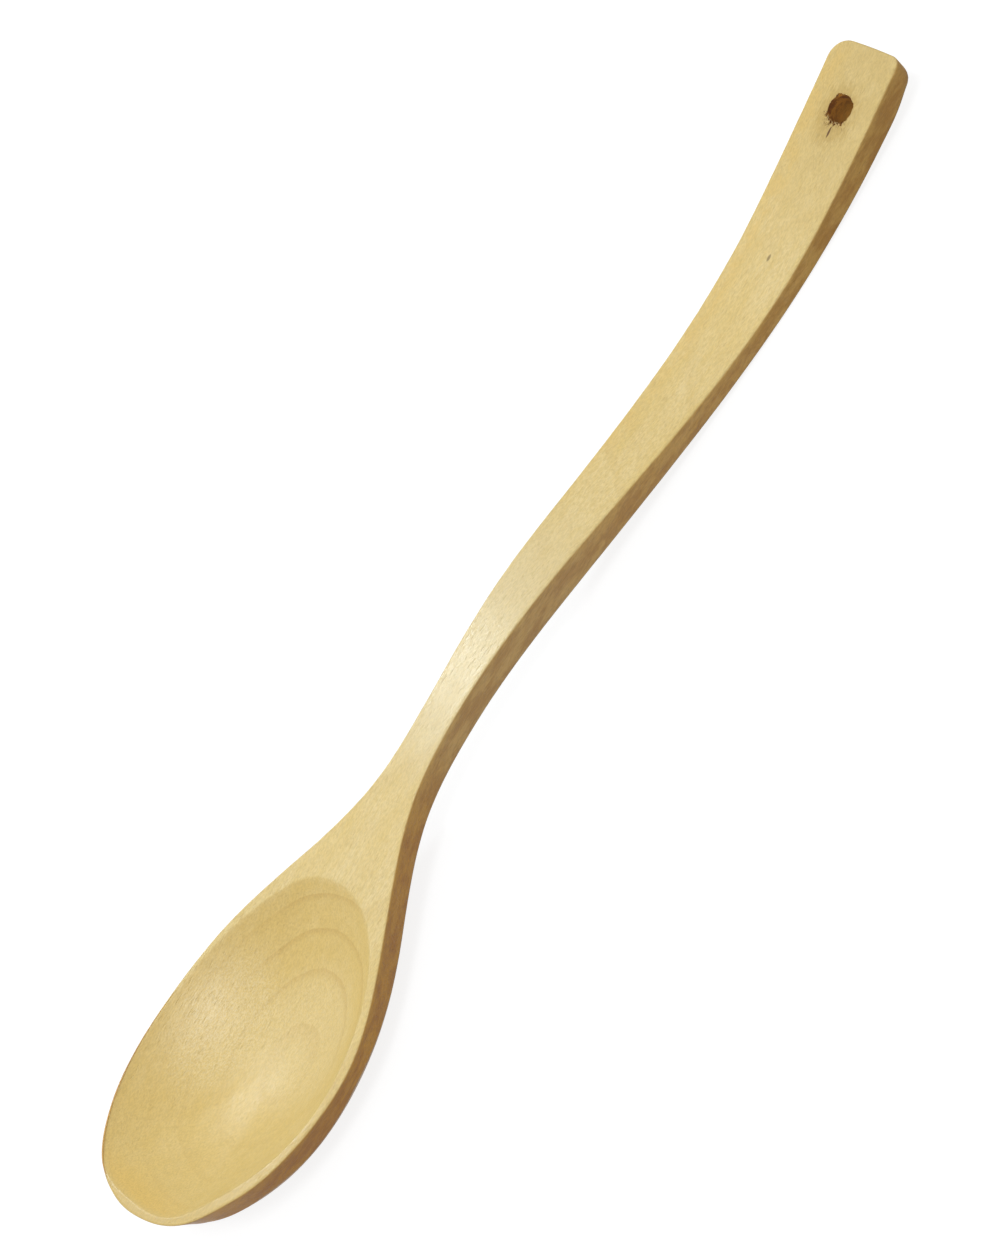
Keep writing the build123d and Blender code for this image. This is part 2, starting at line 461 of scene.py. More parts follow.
def half_columns(side):
    """One half of the spoon as grids of points: the top face with its edges and underside, and the hollow."""
    outline = half_plan(left_corner_radius if side > 0 else right_corner_radius)
    run = np.concatenate([[0.0], np.cumsum(np.linalg.norm(np.diff(outline, axis=0), axis=1))])

    def run_at(place):
        return np.interp(place, outline[:, 0], run)

    def outline_at(spots):
        return np.stack([np.interp(spots, run, outline[:, i]) for i in (0, 1)], axis=1)

    bowl_end, grip_end = run_at(last_hollow_place), run_at(end_from_tip)
    spots = np.concatenate(
        [
            np.linspace(0.0, bowl_end, bowl_count + 1),
            np.linspace(bowl_end, grip_end, grip_count + 1)[1:],
            np.linspace(grip_end, run[-1], end_count + 1)[1:],
        ]
    )
    bowl_part = slice(0, bowl_count + 1)
    grip_part = slice(bowl_count + 1, bowl_count + grip_count + 1)
    end_part = slice(bowl_count + grip_count, None)
    end_middles = np.linspace(end_middle_place, last_middle_place, end_count + 1)

    # The outline as the hand left it
    outward = outwards(outline_at(spots + track_step) - outline_at(spots - track_step))
    edge = outline_at(spots)
    edge[0, 1] = edge[-1, 1] = 0.0
    for shift_side, middle, reach, shift in hand_shifts:
        if shift_side == side:
            edge += outward * (shift * nearness(spots, middle, reach))[:, None]
    place, y = edge[:, 0].copy(), edge[:, 1].copy()

    # Inner ends of the columns: the hollow's lip, and behind it the middle line
    wall, level, rim = matched_hollow(side, edge[bowl_part])
    rim_left = np.linalg.norm(edge[bowl_part] - rim[:, :2], axis=1)
    strength, size, seed = lip_waver
    softness = lip_softness * (1 + strength * soft_noise(rim, size, seed + side))
    softness[0] = softness[-1] = lip_softness
    softness = np.minimum(softness, lip_share_of_rim * rim_left)
    lip_outer = rim[:, :2] + outwards(np.gradient(rim[:, :2], axis=0)) * softness[:, None]
    inner = np.zeros_like(edge)
    inner[bowl_part] = lip_outer
    inner[grip_part, 0] = np.interp(
        place[grip_part],
        [last_hollow_place, neck_from_tip, end_from_tip],
        [lip_outer[-1, 0], neck_middle_place, end_middle_place],
    )
    inner[end_part, 0] = end_middles

    # The radius of the top edge wavers a little and is larger at the dents
    top_edge = np.stack([place, side * y, top_at(place)], axis=1)
    wavers = [strength * soft_noise(top_edge, size, seed) for strength, size, seed in edge_wavers]
    radius = top_edge_radius * sum(wavers, 1.0)
    for dent_place, dent_side, length, depth in edge_dents:
        if dent_side == side:
            radius += depth * nearness(place, dent_place, length)
    radius[0] = radius[-1] = top_edge_radius
    radius[bowl_part] = np.minimum(radius[bowl_part], edge_share_of_rim * rim_left)
    inset = edge - outward * radius[:, None]

    # The top face and its rounded edge
    rows = []
    for i in range(top_rows):
        spot = between(inner, inset, i / (top_rows - 1))
        rows.append(with_height(spot, top_at(spot[:, 0])))
    for i in range(1, edge_rows + 1):
        turn = math.pi / 2 * i / edge_rows
        spot = edge - outward * (radius * (1 - math.sin(turn)))[:, None]
        rows.append(with_height(spot, top_at(spot[:, 0]) - radius * (1 - math.cos(turn))))

    # The wall, and the lower edge that is rounded between it and the underside
    low_edge = underside_at(place, y)
    probe = edge - outward * probe_step
    slope = (low_edge - underside_at(probe[:, 0], probe[:, 1])) / probe_step
    lean = np.arctan(np.maximum(slope, 0.0))
    softer = soft_step(place, spoon_length - softer_from_end, spoon_length - softest_from_end)
    low_radius = lower_edge_radius + end_softness * softer
    if side < 0:
        corner_run = run[-1] - end_width / 2 + corner_shift
        low_radius += corner_softness * nearness(spots, corner_run, corner_reach)
    tangent = low_radius * np.tan((math.pi / 2 - lean) / 2)
    wall_top = top_at(place) - radius
    wall_low = np.minimum(low_edge + tangent, wall_top - least_wall)
    for i in range(1, wall_rows + 1):
        rows.append(with_height(edge, between(wall_top, wall_low, i / wall_rows)))
    keel_runs = [0.0, run_at(widest_from_tip), run_at(neck_from_tip), grip_end]
    keel_places = [tip_keel_place, widest_from_tip, neck_keel_place, end_middle_place]
    keel = np.stack([np.interp(spots, keel_runs, keel_places), np.zeros(len(spots))], axis=1)
    keel[end_part, 0] = end_middles
    inner_low = edge + unit_rows(keel - edge) * (tangent * np.cos(lean))[:, None]
    inner_low[0, 1] = inner_low[-1, 1] = 0.0
    rows += turned_over(
        with_height(edge, wall_low),
        with_height(edge, low_edge),
        with_height(inner_low, underside_at(inner_low[:, 0], inner_low[:, 1])),
        [i / low_rows for i in range(1, low_rows + 1)],
    )

    # The underside runs in to the keel's middle line
    for i in range(1, under_rows + 1):
        spot = between(inner_low, keel, (i / under_rows) ** under_crowding)
        rows.append(with_height(spot, underside_at(spot[:, 0], spot[:, 1])))
    body = np.stack(rows, axis=1)

    # The tucked side slopes inwards on its way down
    tuck = np.zeros(len(spots))
    for tuck_side, middle, reach, slope in tucked_sides:
        if tuck_side == side:
            tuck += slope * nearness(spots, middle, reach)
    below = np.clip(top_at(place)[:, None] - body[:, :, 2], 0.0, tuck_depth)
    towards_keel = np.linalg.norm(body[:, :, :2] - edge[:, None, :], axis=2)
    towards_keel /= np.linalg.norm(keel - edge, axis=1)[:, None]
    tucked = tuck[:, None] * below * part_of_one(1 - tuck_fade * towards_keel)
    tucked[:, :top_rows] = 0.0
    body[:, :, :2] -= outward[:, None, :] * tucked[:, :, None]

    # The lip turns over into the hollow, and the wall runs down to the middle of the floor
    steep = np.linalg.norm(rim - hollow_point(wall, level - level_step), axis=1) / level_step
    low_level = level - softness / steep
    lip_start = with_height(lip_outer, top_at(lip_outer[:, 0]))
    lip_end = hollow_point(wall, low_level)
    rings = turned_over(lip_start, rim, lip_end, [i / lip_rings for i in range(lip_rings + 1)])
    for i in range(1, floor_rings + 1):
        rings.append(hollow_point(wall, low_level * (1 - i / floor_rings)))
    bowl = np.stack(rings, axis=1)
    for grid in (body, bowl):
        grid[..., 1] *= side
        grid[0, :, 1] = grid[-1, :, 1] = 0.0
    return body, bowl


def add_grid(points, faces, grid):
    """Adds a grid of points and the four-sided faces between them."""
    first = sum(len(block) for block in points)
    points.append(grid.reshape(-1, 3))
    down, across = grid.shape[:2]
    index = first + np.arange(down * across).reshape(down, across)
    quads = np.stack([index[:-1, :-1], index[1:, :-1], index[1:, 1:], index[:-1, 1:]], axis=-1)
    faces.append(quads.reshape(-1, 4))


def new_object(name, content):
    obj = bpy.data.objects.new(name, content)
    bpy.context.scene.collection.objects.link(obj)
    return obj


def close_and_turn_out(mesh, gap):
    """Merges doubled points, drops faces with no area and points every face outwards."""
    shape = bmesh.new()
    shape.from_mesh(mesh)
    bmesh.ops.remove_doubles(shape, verts=shape.verts, dist=gap)
    bmesh.ops.dissolve_degenerate(shape, dist=gap / 4, edges=shape.edges)
    bmesh.ops.recalc_face_normals(shape, faces=shape.faces)
    shape.to_mesh(mesh)
    shape.free()


def stored_vectors(mesh, name):
    """The points' places or normals, one row for each point."""
    flat = np.empty(len(mesh.vertices) * 3)
    mesh.vertices.foreach_get(name, flat)
    return flat.reshape(-1, 3)


def carve_body():
    """The spoon without its hanging hole, gently uneven as hand-finished wood is."""
    left_body, left_bowl = half_columns(1)
    right_body, right_bowl = half_columns(-1)
    # The two halves share their points on the middle line
    for column in (0, -1):
        shared = (left_body[column] + right_body[column]) / 2
        left_body[column] = right_body[column] = shared
    on_line = (left_body[:, 0, 1] == 0.0) & (right_body[:, 0, 1] == 0.0)
    shared = (left_body[on_line, 0] + right_body[on_line, 0]) / 2
    left_body[on_line, 0] = right_body[on_line, 0] = shared
    points = []
    faces = []
    for grid in (left_body, left_bowl, right_body, right_bowl):
        add_grid(points, faces, grid)
    cloud = np.concatenate(points)
    cloud[:, 0] += tip_x
    mesh = bpy.data.meshes.new("spoon")
    mesh.from_pydata((cloud * MM).tolist(), [], np.concatenate(faces).tolist())
    close_and_turn_out(mesh, gap=0.004 * MM)
    spots = stored_vectors(mesh, "co") / MM
    dips = [depth * (0.5 + 0.5 * soft_noise(spots, size, seed)) for depth, size, seed in surface_dips]
    sunk = spots - stored_vectors(mesh, "normal") * sum(dips)[:, None]
    sunk[:, 2] = np.maximum(sunk[:, 2], 0.0)
    mesh.vertices.foreach_set("co", (sunk * MM).ravel())
    mesh.update()
    return new_object("wooden_spoon", mesh)


# Where the drill broke out the hole's edge: turn in degrees from the handle's end, depth, width in degrees
hole_chips = (
    (24.0, 0.25, 7.0),
    (36.0, 0.50, 8.0),
    (130.0, 0.85, 7.0),
    (147.0, 0.40, 8.0),
    (166.0, 0.65, 7.0),
    (183.0, 0.80, 8.0),
    (199.0, 0.45, 7.0),
    (212.0, 0.90, 7.0),
    (232.0, 0.20, 9.0),
    (300.0, 0.22, 12.0),
    (341.0, 0.16, 9.0),
)


def hole_frame():
    """Middle of the hole on the top face, and the directions along, across and up its axis."""
    place = spoon_length - hole_from_end
    slope = float(top_at(place + 0.5) - top_at(place - 0.5))
    up = Vector((-slope, 0.0, 1.0)).normalized()
    along = Vector((1.0, 0.0, slope)).normalized()
    return Vector((tip_x + place, hole_offset, float(top_at(place)))), along, Vector((0, 1, 0)), up


# Wood left by the drill at the hole's lower edge: its turn and width in degrees, depth, start and rise
burr_turn = 105.0
burr_spread = 42.0
burr_depth = 0.6
burr_start = -7.0
burr_rise = 0.8

# The drill's path: points round it, and the heights of its rings over the top face
drill_turns = 120
drill_heights = (3.0, 0.45, 0.0, -0.25, -0.6, -1.2, -2.5, -4.5, -6.5, -7.6, -8.2, -8.7, -12.0)
# Height of the wood's lower face, how far the chips reach from both faces, and their share at the lower one
low_face = -8.4
top_break_reach = 0.55
low_break_reach = 0.5
low_chip_share = 0.6
# Waves and fine bumps on the hole's wall: how many round it, how many a millimetre down it, shift
hole_waves = (2.2, 0.25, 0.0)
hole_bumps = (9.0, 1.2, 5.0)
wave_depth = 0.06
bump_depth = 0.04
torn_bump_depth = 0.14


def hole_noise(turn, height, around, down, shift):
    return noise.noise(Vector((around * math.cos(turn), around * math.sin(turn), height * down + shift)))


def near_turn(turn, middle, width):
    """1 where two turns in degrees agree, falling off smoothly on both sides."""
    off = (turn - middle + 180) % 360 - 180
    return math.exp(-((off / width) ** 2))


def drill_cutter():
    """The drill's path through the wood, with the chips that it tore from the edges."""
    middle, along, across, up = hole_frame()
    points = []
    for height in drill_heights:
        top_break = math.exp(-((min(height, 0.0) / top_break_reach) ** 2))
        low_break = math.exp(-(((max(height, low_face) - low_face) / low_break_reach) ** 2))
        chipped = top_break + low_chip_share * low_break
        low_burr = min(1.0, max(0.0, (burr_start - height) / burr_rise))
        for i in range(drill_turns):
            turn = 2 * math.pi * i / drill_turns
            degrees = math.degrees(turn)
            bumps = (bump_depth + torn_bump_depth * top_break) * hole_noise(turn, height, *hole_bumps)
            radius = hole_radius + wave_depth * hole_noise(turn, height, *hole_waves) + bumps
            for chip_turn, depth, width in hole_chips:
                radius += depth * near_turn(degrees, chip_turn, width) * chipped
            radius -= burr_depth * near_turn(degrees, burr_turn, burr_spread) * low_burr
            spot = middle + along * (radius * math.cos(turn)) + across * (radius * math.sin(turn))
            points.append((spot + up * height) * MM)
    faces = []
    for row in range(len(drill_heights) - 1):
        first, above = row * drill_turns, (row + 1) * drill_turns
        for i in range(drill_turns):
            j = (i + 1) % drill_turns
            faces.append((first + i, first + j, above + j, above + i))
    faces.append(tuple(range(drill_turns - 1, -1, -1)))
    faces.append(tuple((len(drill_heights) - 1) * drill_turns + i for i in range(drill_turns)))
    mesh = bpy.data.meshes.new("drill")
    mesh.from_pydata(points, [], faces)
    close_and_turn_out(mesh, gap=0.001 * MM)
    return new_object("drill", mesh)


def drill_hole(spoon):
    cutter = drill_cutter()
    cut = spoon.modifiers.new("hanging hole", "BOOLEAN")
    cut.operation = "DIFFERENCE"
    cut.solver = "EXACT"
    cut.object = cutter
    cut.material_mode = "TRANSFER"
    depsgraph = bpy.context.evaluated_depsgraph_get()
    mesh = bpy.data.meshes.new_from_object(spoon.evaluated_get(depsgraph))
    spoon.modifiers.remove(cut)
    old = spoon.data
    spoon.data = mesh
    bpy.data.meshes.remove(old)
    bpy.data.objects.remove(cutter)


# The walls reach this far in from the outline. Wood is wall when it faces up by less than the flat share,
# fully so a turn lower, and everywhere where it is steep.
wall_reach = 2.0
wall_flat = 0.80
wall_turn = 0.45
wall_steep = 0.1
# The worn edge fades out inwards and downwards, and the hollow starts just under the top face
edge_reach = 1.6
edge_drop = 0.6
edge_lowest = 9.0
hollow_drop = 0.5
hollow_flat = 0.3
# Bare wood of the hole: how far out and how deep it starts, its fades, and how square to the drill it faces
bare_reach = 1.6
bare_fade = 0.3
bare_depth = 0.02
bare_depth_fade = 0.2
bare_square = 0.8


def mark_wood(mesh):
    """Stores for each point how much it belongs to the walls, the edges, the hollow and the drilled hole."""
    spots = stored_vectors(mesh, "co") / MM
    normals = stored_vectors(mesh, "normal")
    facing_up = normals[:, 2]
    place = spots[:, 0] - tip_x
    held_place = np.clip(place, 0.0, spoon_length)
    below = top_at(held_place) - spots[:, 2]
    inside = half_width_at(held_place) - np.abs(spots[:, 1])
    wall = part_of_one((wall_flat - facing_up) / wall_turn)
    wall *= part_of_one(part_of_one(1 - inside / wall_reach) + (facing_up < wall_steep))
    edge = np.exp(-np.clip(below, 0.0, edge_lowest) / edge_drop) * part_of_one(1 - inside / edge_reach)
    in_bowl = (facing_up > hollow_flat) & (place < hollow_end_from_tip)
    hollow = part_of_one(below / hollow_drop) * in_bowl * (1 - wall)
    middle, along, across, up = (np.array(vector) for vector in hole_frame())
    offset = spots - middle
    out = np.sqrt((offset @ along) ** 2 + (offset @ across) ** 2)
    hole = part_of_one((hole_radius + bare_reach - out) / bare_fade)
    hole *= part_of_one((-(offset @ up) - bare_depth) / bare_depth_fade)
    hole *= part_of_one((bare_square - np.abs(normals @ up)) / bare_fade)
    shares = {"wall_share": wall, "edge_share": edge, "hole_share": hole, "hollow_share": hollow}
    for name, values in shares.items():
        layer = mesh.attributes.new(name, "FLOAT", "POINT")
        layer.data.foreach_set("value", values.astype(np.float32))


def put_node(tree, kind, inputs=None, **settings):
    """Adds a node. An input that is a socket is linked, and any other value is set."""
    made = tree.nodes.new(kind)
    for name, value in settings.items():
        setattr(made, name, value)
    for name, value in (inputs or {}).items():
        if isinstance(value, bpy.types.NodeSocket):
            tree.links.new(value, made.inputs[name])
        else:
            made.inputs[name].default_value = value
    return made


def maths(tree, operation, first, second=0.0):
    return put_node(tree, "ShaderNodeMath", {0: first, 1: second}, operation=operation).outputs[0]


def product(tree, first, *others):
    for value in others:
        first = maths(tree, "MULTIPLY", first, value)
    return first


def vector_maths(tree, operation, inputs, output=0):
    return put_node(tree, "ShaderNodeVectorMath", inputs, operation=operation).outputs[output]


def fade(tree, value, start, end, low=0.0, high=1.0):
    """A smooth change from low to high while value goes from start to end."""
    made = put_node(
        tree,
        "ShaderNodeMapRange",
        {"Value": value, "From Min": start, "From Max": end, "To Min": low, "To Max": high},
        interpolation_type="SMOOTHSTEP",
    )
    return made.outputs["Result"]


def tint(tree, share, first, second, blend="MIX"):
    """Two colours mixed by a share."""
    first, second = ((*value, 1.0) if isinstance(value, tuple) else value for value in (first, second))
    inputs = {"Factor": share, 6: first, 7: second}
    return put_node(
        tree, "ShaderNodeMix", inputs, data_type="RGBA", blend_type=blend, clamp_factor=True
    ).outputs[2]


def new_material(name):
    """A material with an empty node tree, and the tree."""
    material = bpy.data.materials.new(name)
    material.use_nodes = True
    material.node_tree.nodes.clear()
    return material, material.node_tree


def finish_material(tree, surface):
    """Joins the values of a surface with the material's output."""
    shader = put_node(tree, "ShaderNodeBsdfPrincipled", surface)
    put_node(tree, "ShaderNodeOutputMaterial", {"Surface": shader.outputs[0]})


def finish_wood(tree, colour, rough, relief, strength, depth, ior):
    """Joins the colour, roughness and relief of a wood's surface."""
    bump = put_node(tree, "ShaderNodeBump", {"Height": relief, "Strength": strength, "Distance": depth})
    finish_material(tree, {"Base Color": colour, "Roughness": rough, "Normal": bump.outputs[0], "IOR": ior})


def in_millimetres(tree):
    """The place on the spoon in millimetres."""
    source = put_node(tree, "ShaderNodeTexCoord")
    return vector_maths(tree, "SCALE", {0: source.outputs["Object"], "Scale": 1 / MM})


# Noise in the wood: size of its bumps along x, y and z in millimetres, detail, roughness, shift if any
wood_noises = {
    "mottle": ((26.0, 9.0, 9.0), 3.0, 0.55),
    "streak": ((34.0, 1.6, 1.6), 4.0, 0.60),
    "fibre": ((5.0, 0.34, 0.34), 3.0, 0.60),
    "speck": ((0.9, 0.32, 0.32), 1.0, 0.50, (8.0, 2.0, 1.0)),
    "pore": ((2.4, 0.30, 0.30), 0.0, 0.50, (1.0, 7.0, 3.0)),
    "freckle": ((1.5, 0.65, 0.65), 3.0, 0.75, (6.0, 6.0, 2.0)),
    "smudge": ((5.0, 3.0, 3.0), 3.0, 0.65, (1.0, 9.0, 4.0)),
    "wall_patch": ((8.0, 4.0, 2.6), 4.0, 0.70, (2.0, 0.0, 6.0)),
    "hollow_patch_and_painted_bounce": ((9.0, 5.0, 5.0), 3.0, 0.60, (5.0, 2.0, 8.0)),
    "cloud": ((3.2, 2.0, 2.0), 3.0, 0.60, (7.0, 3.0, 3.0)),
    "glint": ((0.45, 0.28, 0.28), 2.0, 0.70, (2.0, 2.0, 9.0)),
    "open_grain": ((0.9, 0.32, 0.32), 1.0, 0.50, (3.0, 8.0, 5.0)),
    "scorch": ((2.2, 1.6, 1.2), 3.0, 0.60),
    "ring_wander": ((46.0, 17.0, 13.0), 2.0, 0.50, (3.1, 0.4, 0.0)),
    "ring_ripple": ((9.0, 3.0, 3.0), 2.0, 0.50, (0.0, 5.0, 0.0)),
    "spot_edge": ((2.2, 0.5, 0.5), 2.0, 0.50, (4.0, 1.0, 2.0)),
    "torn_patch": ((0.9, 0.35, 0.6), 2.0, 0.50, (3.0, 6.0, 0.0)),
    "torn_grain": ((0.8, 0.08, 0.08), 1.0, 0.50),
}

# How a mark comes up with a noise or with a place in millimetres: the value where it starts and the value
# where it is full, then what it is at both, which is 0 and 1 where a row says nothing else
wood_fades = {
    "mottle": (0.35, 0.70),
    "streak": (0.42, 0.72, 0.0, 0.38),
    "fibre": (0.50, 0.75, 0.0, 0.22),
    "speck": (0.52, 0.78, 0.0, 0.26),
    "pore": (0.70, 0.80),
    "freckle": (0.44, 0.60, 0.0, 0.36),
    "wall_patch": (0.38, 0.62),
    # In the hollow, patches of golden tone that never fall below half strength: partly the wood's mottling,
    # partly painted warm light bouncing inside the hollow
    "hollow_patch_and_painted_bounce": (0.34, 0.68, 0.50, 0.74),
    "cloud": (0.38, 0.66, 0.0, 0.28),
    "open_grain": (0.36, 0.64, 0.952, 1.048),
    "scorch": (0.42, 0.60),
    "torn_patch": (0.42, 0.60),
    # Growth rings: a line rises slowly and drops fast, and in the hollow it is fainter at the left side
    "ring_rise": (0.74, 0.965),
    "ring_drop": (1.0, 0.975),
    "ring_glow": (0.0, 0.95),
    "fine_rise": (0.45, 0.90),
    "fine_drop": (1.0, 0.92),
    "ring_depth": (-110.0, -84.0, 0.05, 0.40),
    "ring_side": (18.0, 9.0, 0.30, 1.0),
    # The end held by the hand, the handle's warm left edge, the polished bend with its painted highlight, the
    # bowl's sanded rim
    "handled_end": (88.0, 138.0),
    "handled_patch": (0.38, 0.62, 0.68, 1.0),
    "warm_side": (1.5, 8.0),
    "warm_start": (15.0, 50.0),
    "warm_patch": (0.38, 0.60, 0.15, 0.55),
    "bend_start": (-48.0, -22.0),
    "bend_end": (38.0, 8.0),
    "sanded_rim": (-92.0, -124.0),
    # Painted shade on the bowl's walls, the painted glint highlight and the band at the tip in the hollow,
    # and painted light bouncing up into the low part of the hanging hole
    "bowl_wall": (-25.0, -60.0),
    "left_painted_glint": (0.42, 0.58, 0.15, 1.0),
    "right_painted_glint": (0.42, 0.58, 0.35, 0.95),
    "tip_band": (-140.5, -146.5, 0.0, 0.55),
    "deep_hole": (12.0, 5.0, 0.0, 0.70),
    # Oval spots, by the distance from their middle, and the roughness of fibres and of the worn end
    "spot": (1.0, 0.45),
    "fibre_rough": (0.30, 0.70, 0.30, 0.44),
    "end_rough": (50.0, 110.0, 0.0, 0.26),
    "torn_rough": (0.3, 0.7, 0.6, 0.8),
}

# Soft oval spots: middle, reach along x and y, raggedness. The stain and the slit lie at the hanging hole.
hole_x = tip_x + spoon_length - hole_from_end
wood_spots = {
    "fleck": ((99.6, -0.8), (1.2, 0.48), 0.1),
    "stain": ((hole_x - 1.6, hole_offset + 0.3), (9.0, 6.5), 0.45),
    "slit": ((hole_x - 5.6, hole_offset + 0.1), (1.5, 0.32), 0.3),
    # The two glint spots are painted highlights, where light from above is reflected in the hollow
    "left_painted_glint": ((-107.0, 15.0), (23.0, 13.0), 0.15),
    "right_painted_glint": ((-100.0, -5.0), (21.0, 18.0), 0.15),
}

# Colours of the wood
pale = (0.730, 0.570, 0.265)
golden = (0.665, 0.478, 0.150)
half_golden = tuple(between(first, second, 0.5) for first, second in zip(pale, golden))
tan = (0.500, 0.310, 0.090)
# Painted highlight: the silvery colour of the glints in the hollow
painted_glint_silver = (0.800, 0.670, 0.390)
# Painted shade: the walls are coloured darker and browner, most of all round the bowl
deep_wall_shade = (0.74, 0.500, 0.225)
pale_wall_shade = (0.96, 0.745, 0.435)
bowl_wall = (0.86, 0.70, 0.22)
# Bare wood in the hanging hole, with a lighter brown painted low down for light bouncing up into it, and the
# torn fibres round it
scorched = (0.19, 0.055, 0.001)
bare_brown = (0.50, 0.215, 0.020)
painted_bounce_brown = (0.62, 0.33, 0.065)
dark_fibre = (0.13, 0.042, 0.003)
pale_fibre = (0.86, 0.66, 0.30)

# Washes of colour over the wood: strength and colour
wood_washes = {
    "streak": (1.0, golden),
    "ring_glow": (0.10, golden),
    "fine_line": (0.05, tan),
    "ring": (1.0, tan),
    "fibre": (1.0, golden),
    "speck": (1.0, tan),
    "freckle": (1.0, (0.600, 0.415, 0.125)),
    "pore": (0.30, tan),
    "handled_end": (1.0, (0.590, 0.425, 0.150)),
    "warm_edge": (1.0, (0.680, 0.455, 0.125)),
    "fleck": (0.75, (0.19, 0.105, 0.025)),
    # Painted highlight: the polished bend is coloured paler
    "bend_painted_highlight": (0.55, (0.690, 0.565, 0.320)),
    "stain": (0.50, (0.43, 0.265, 0.045)),
    "slit": (1.0, (0.11, 0.038, 0.002)),
    "sanded_rim": (0.85, (0.585, 0.410, 0.130)),
    "hollow_patch_and_painted_bounce": (1.0, golden),
    "cloud": (1.0, (0.600, 0.420, 0.120)),
    "left_painted_glint": (0.46, painted_glint_silver),
    "right_painted_glint": (0.42, painted_glint_silver),
    "tip_band": (1.0, (0.685, 0.450, 0.100)),
    "hollow_ring": (0.42, tan),
    "worn_edge": (0.35, golden),
}

# Growth rings: heights of the main ones over the tilted plane that they follow, the lowest first
ring_heights = (-5.5, -2.6, 0.2, 2.8, 5.3, 8.2, 11.9, 16.2, 21.0, 26.0)
ring_tilt = (0.020, 0.139, 1.0)
ring_waves = (("ring_wander", 1.1), ("ring_ripple", 0.3))
fine_lines_per_ring = 3.0
ring_everywhere = 0.065

# Roughness that bare wood adds and polish takes off, and the parts of the fine relief
bare_rough = 0.35
polish = 0.06
fibre_relief = 0.5
speck_relief = 0.5
pore_relief = 0.6


def noise_in(tree, coords, name):
    """Smooth noise from 0 to 1, as its row of wood_noises says."""
    size, detail, rough, *shift = wood_noises[name]
    placing = {"Vector": coords, "Scale": tuple(1.0 / value for value in size)}
    if shift:
        placing["Location"] = shift[0]
    scaled = put_node(tree, "ShaderNodeMapping", placing)
    bumps = {"Vector": scaled.outputs[0], "Scale": 1.0, "Detail": detail, "Roughness": rough}
    return put_node(tree, "ShaderNodeTexNoise", bumps, noise_dimensions="3D").outputs["Fac"]


def wavered(tree, value, coords, name, strength):
    """The value shifted up and down by a noise."""
    shift = product(tree, maths(tree, "SUBTRACT", noise_in(tree, coords, name), 0.5), strength)
    return maths(tree, "ADD", value, shift)


def shown(tree, name, value):
    """How much of a mark shows at a value, as its row of wood_fades says."""
    return fade(tree, value, *wood_fades[name])


def growth_rings(tree, coords):
    """Dark thin line at each growth ring, a faint tone between them, and finer lines."""
    height = vector_maths(tree, "DOT_PRODUCT", {0: coords, 1: ring_tilt}, "Value")
    height = maths(tree, "ADD", height, ring_tilt[0] * -tip_x)
    for name, strength in ring_waves:
        height = wavered(tree, height, coords, name, strength)
    low, high = ring_heights[0], ring_heights[-1]
    share = maths(tree, "DIVIDE", maths(tree, "SUBTRACT", height, low), high - low)
    table = put_node(tree, "ShaderNodeFloatCurve", {"Value": share})
    curve = table.mapping.curves[0]
    spans = len(ring_heights) - 1
    for i, ring in enumerate(ring_heights[1:-1], 1):
        curve.points.new((ring - low) / (high - low), i / spans)
    for point in curve.points:
        point.handle_type = "VECTOR"
    table.mapping.update()
    turns = product(tree, table.outputs["Value"], float(spans))
    within = maths(tree, "FRACT", turns)
    line = product(tree, shown(tree, "ring_rise", within), shown(tree, "ring_drop", within))
    fine = maths(tree, "FRACT", product(tree, turns, fine_lines_per_ring))
    fine_line = product(tree, shown(tree, "fine_rise", fine), shown(tree, "fine_drop", fine))
    return line, shown(tree, "ring_glow", within), fine_line


def spot_share(tree, coords, name):
    """How much a point belongs to a soft oval spot."""
    middle, reach, raggedness = wood_spots[name]
    moved = vector_maths(tree, "SUBTRACT", {0: coords, 1: (*middle, 0.0)})
    flat = vector_maths(tree, "MULTIPLY", {0: moved, 1: (1 / reach[0], 1 / reach[1], 0.0)})
    out = vector_maths(tree, "LENGTH", {0: flat}, "Value")
    return shown(tree, "spot", wavered(tree, out, coords, "spot_edge", 2 * raggedness))


def washed(tree, colour, shares):
    """The colour under one wash after another, each by its share."""
    for name, share in shares.items():
        strength, shade = wood_washes[name]
        colour = tint(tree, product(tree, share, strength), colour, shade)
    return colour


